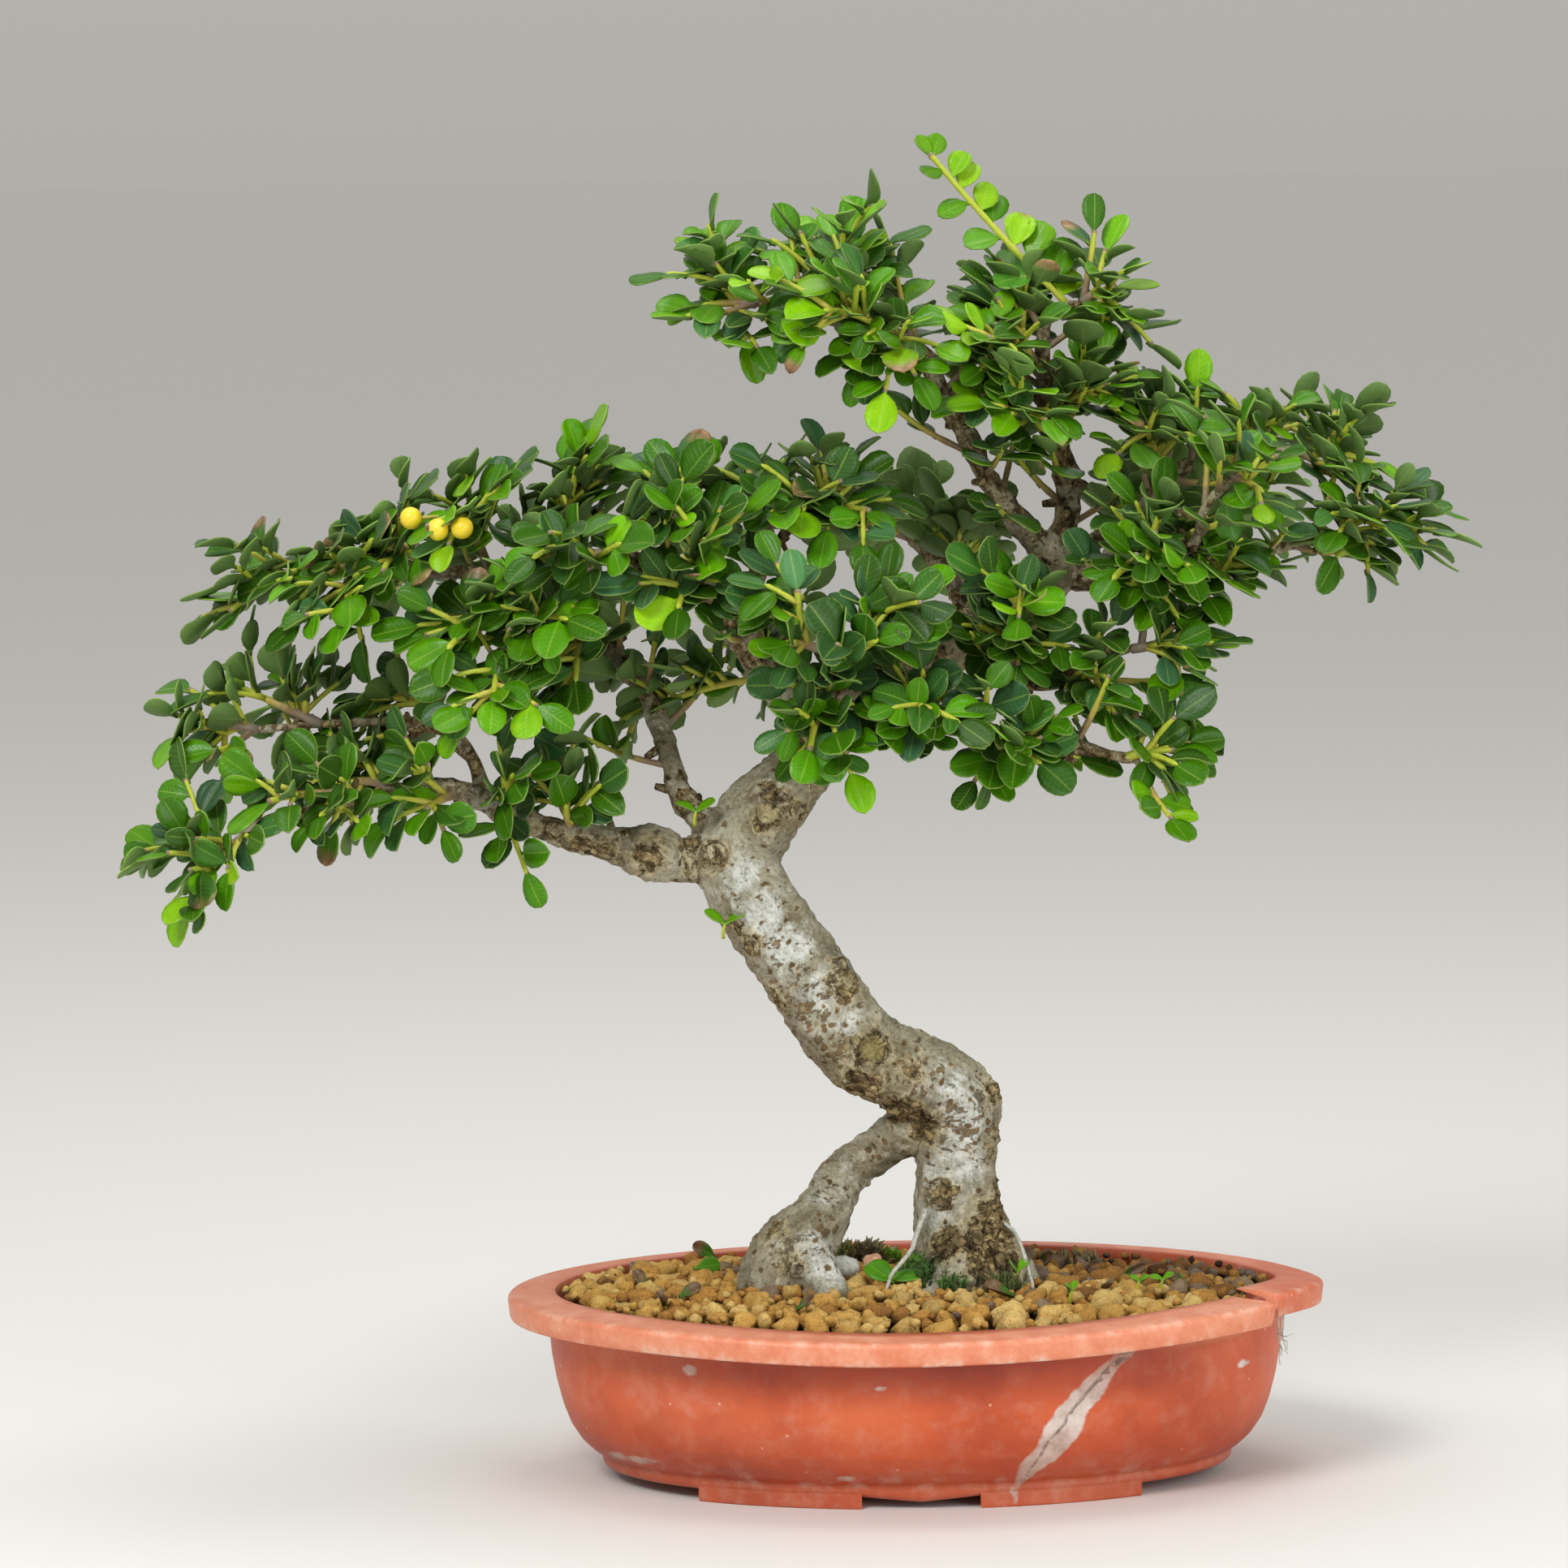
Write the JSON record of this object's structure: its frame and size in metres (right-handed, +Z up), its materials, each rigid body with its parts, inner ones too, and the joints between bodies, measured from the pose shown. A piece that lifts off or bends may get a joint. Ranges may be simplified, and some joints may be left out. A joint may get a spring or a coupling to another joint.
{
  "type": "wall cotoneaster bonsai in a pot",
  "caption": "Small cotoneaster bonsai with an arched second root leg and flat leafy pads, planted in clay granules in a cracked oval terracotta-coloured plastic training pot.",
  "frame": {"origin": "centre of the object's box on the ground plane under the pot's feet", "axes": "+Z up, +X to the tree's right as seen from its front, +Y to its back, so the front faces -Y"},
  "size_m": [0.3754, 0.2032, 0.3717],
  "materials": {
    "pot": "moulded plastic in terracotta orange, satin, scuffed and chalky at the edges",
    "soil": "dry crumbly baked clay granules",
    "bark": "smooth grey bark with brown flakes, lenticels and pruning scars",
    "foliage": "glossy leathery leaves on green young twigs",
    "berry": "smooth waxy skin"
  },
  "bodies": {
    "root": {"pot": "pot", "soil": "soil", "trunk": "bark", "berry_1": "berry", "berry_2": "berry", "berry_3": "berry", "spray_lowLeftEnd": "foliage", "spray_lowLeftMiddle": "foliage", "spray_lowLeftBack": "foliage", "spray_lowLeftFront": "foliage", "spray_lowLeftHanging": "foliage", "spray_lowLeftInner": "foliage", "spray_lowUpEnd": "foliage", "spray_lowUpTop": "foliage", "spray_lowUpInner": "foliage", "spray_upperLeftEnd": "foliage", "spray_upperLeftFront": "foliage", "spray_upperLeftTop": "foliage", "spray_upperLeftBack": "foliage", "spray_berryTwig": "foliage", "spray_upperLeftLow": "foliage", "spray_upperLeftCrown": "foliage", "spray_upperLeftInner": "foliage", "spray_upperLeftRear": "foliage", "spray_middleTop": "foliage", "spray_middleEnd": "foliage", "spray_middleFront": "foliage", "spray_middleLow": "foliage", "spray_centreTop": "foliage", "spray_centreRight": "foliage", "spray_centreFront": "foliage", "spray_frontEnd": "foliage", "spray_frontLow": "foliage", "spray_frontRight": "foliage", "spray_backLeftEnd": "foliage", "spray_backLeftLow": "foliage", "spray_lowRightInner": "foliage", "spray_lowRightUnder": "foliage", "spray_lowRightEnd": "foliage", "spray_midRightFront": "foliage", "spray_midRightLow": "foliage", "spray_midRightEnd": "foliage", "spray_rightEnd": "foliage", "spray_rightMiddle": "foliage", "spray_rightUpEnd": "foliage", "spray_rightUpTop": "foliage", "spray_rightUpInner": "foliage", "spray_rightFrontEnd": "foliage", "spray_rightFrontInner": "foliage", "spray_backRightEnd": "foliage", "spray_backRightInner": "foliage", "spray_backInner": "foliage", "spray_backEnd": "foliage", "spray_leader": "foliage", "spray_apexRight": "foliage", "spray_apexMiddle": "foliage", "spray_apexLow": "foliage", "spray_topLeftEnd": "foliage", "spray_topLeftUpright": "foliage", "spray_topLeftFront": "foliage"}
  },
  "joints": []
}
